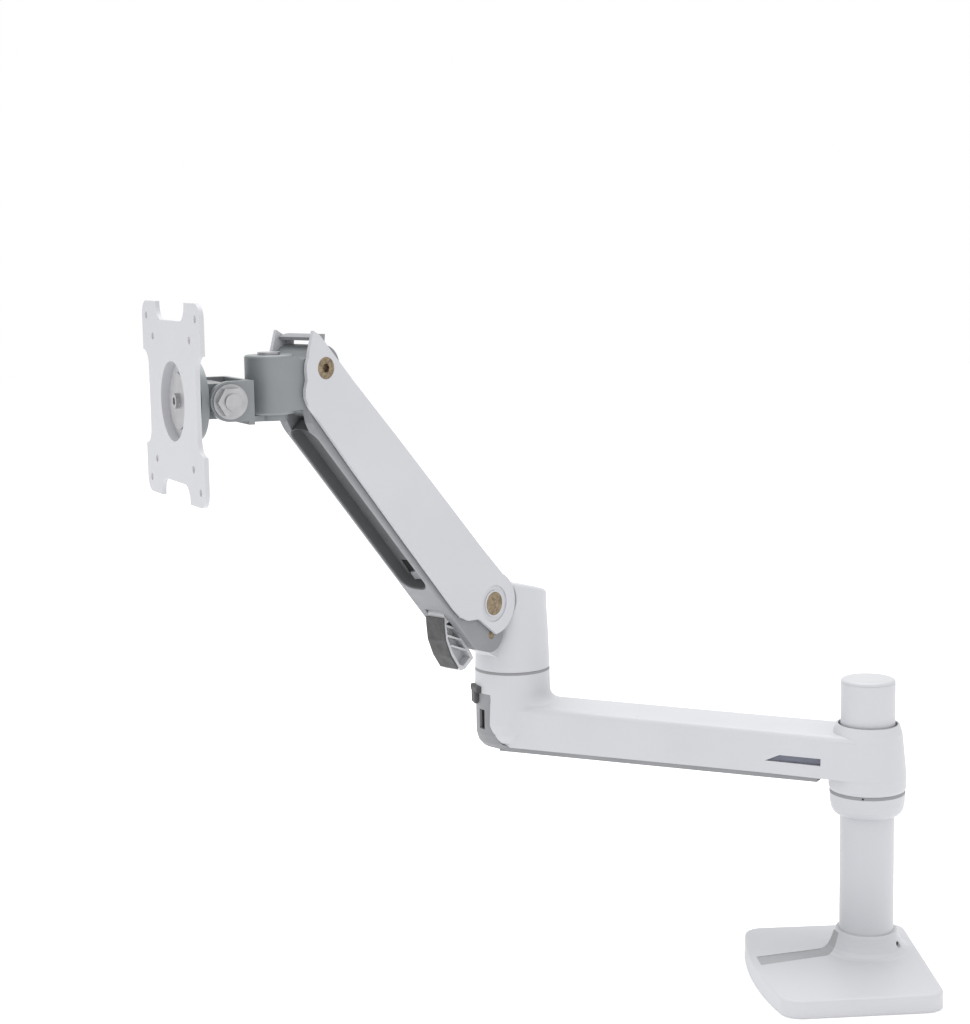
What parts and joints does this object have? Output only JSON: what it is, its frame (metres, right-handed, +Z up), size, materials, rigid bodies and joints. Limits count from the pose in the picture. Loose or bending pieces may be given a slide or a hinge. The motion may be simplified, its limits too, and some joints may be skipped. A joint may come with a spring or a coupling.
{
  "type": "monitor arm",
  "caption": "Sprung desk arm for a screen: flared foot, pole, swivelling extension, parallel lift arm and a tilting, turning head with a square screen plate.",
  "frame": {"origin": "the pole's axis where it meets the desk, at the middle of the foot's four desk holes", "axes": "+Z up along the pole, +X to the right along the foot's straight front edge, +Y away from the front"},
  "size_m": [0.49, 0.2577, 0.4408],
  "materials": {
    "white_paint": "satin white powder coat",
    "grey_plastic": "fine matt mid grey",
    "dark_plastic": "matt charcoal",
    "white_plastic": "satin white moulding",
    "pin_brass": "dull bronze-coloured plate",
    "steel": "zinc plated",
    "cast_grey": "satin silver-grey paint",
    "rubber": "matt",
    "spring_steel": "oiled"
  },
  "bodies": {
    "base": {"foot": "white_paint", "foot_pad": "rubber", "foot_cable_channel": "grey_plastic", "foot_set_screw": "steel", "pole": "white_paint", "pole_cap": "white_plastic"},
    "height_stop": {"stop_collar": "white_paint", "collar_screws": "steel", "collar_washer": "grey_plastic"},
    "extension": {"extension_arm": "white_paint", "hub_bush": "dark_plastic", "elbow_bush": "dark_plastic", "elbow_washer": "grey_plastic", "extension_cover": "grey_plastic", "extension_latch": "dark_plastic", "extension_window": "grey_plastic"},
    "elbow": {"knuckle": "white_paint", "knuckle_stem": "steel", "stem_retainer": "steel"},
    "lift_arm": {"upper_cover": "white_paint", "elbow_pin": "pin_brass", "head_pin": "pin_brass", "tension_spring": "spring_steel", "tension_rod": "steel", "tension_blocks": "cast_grey"},
    "lower_link": {"lower_channel": "grey_plastic", "channel_clip": "white_plastic", "lower_rear_pin": "pin_brass", "clip_pin": "steel"},
    "cable_guide": {"cable_clip": "white_plastic", "clip_facing": "dark_plastic"},
    "head_casting": {"front_clevis": "cast_grey", "head_shield": "grey_plastic", "pan_pin": "steel", "lower_front_pin": "pin_brass"},
    "pan_fork": {"pan_tongue": "cast_grey", "tilt_axle": "steel"},
    "tilt_head": {"tilt_block": "cast_grey", "vesa_washer": "dark_plastic", "vesa_retainer": "steel"},
    "screen_mount": {"vesa_plate": "white_paint"}
  },
  "joints": [
    {"name": "collar_height", "type": "slide", "parent": "base", "child": "height_stop", "axis": [0, 0, 1], "range_m": [-0.074, 0.024]},
    {"name": "extension_swivel", "type": "hinge", "parent": "height_stop", "child": "extension", "pos_m": [0, 0, 0.12], "axis": [0, 0, 1], "continuous": true},
    {"name": "arm_swivel", "type": "hinge", "parent": "extension", "child": "elbow", "pos_m": [-0.21938, 0.13444, 0.177], "axis": [0, 0, 1], "range_deg": [-165.8, 14.2]},
    {"name": "arm_lift", "type": "hinge", "parent": "elbow", "child": "lift_arm", "pos_m": [-0.24651, 0.10797, 0.2289], "axis": [-0.6984, 0.7157, 0], "range_deg": [-58, 2]},
    {"name": "lower_link_pivot", "type": "hinge", "parent": "elbow", "child": "lower_link", "pos_m": [-0.24651, 0.10797, 0.2069], "axis": [-0.6984, 0.7157, 0], "range_deg": [-58, 2]},
    {"name": "head_level", "type": "hinge", "parent": "lift_arm", "child": "head_casting", "pos_m": [-0.35496, 0.00214, 0.39778], "axis": [-0.6984, 0.7157, 0], "range_deg": [-2, 58]},
    {"name": "cable_guide_hinge", "type": "hinge", "parent": "lower_link", "child": "cable_guide", "pos_m": [-0.27218, 0.08292, 0.22846], "axis": [-0.6984, 0.7157, 0], "range_deg": [0, 20]},
    {"name": "head_pan", "type": "hinge", "parent": "head_casting", "child": "pan_fork", "pos_m": [-0.37679, -0.01916, 0.39778], "axis": [0, 0, 1], "range_deg": [-55, 85]},
    {"name": "head_tilt", "type": "hinge", "parent": "pan_fork", "child": "tilt_head", "pos_m": [-0.4084, -0.03168, 0.38178], "axis": [-0.3681, 0.9298, 0], "range_deg": [-5, 60]},
    {"name": "screen_rotate", "type": "hinge", "parent": "tilt_head", "child": "screen_mount", "pos_m": [-0.43388, -0.04177, 0.38178], "axis": [-0.9298, -0.3681, 0], "range_deg": [-90, 90]}
  ],
  "couplings": [
    {"joint": "lower_link_pivot", "follows": "arm_lift", "ratio": 1},
    {"joint": "head_level", "follows": "arm_lift", "ratio": -1}
  ]
}
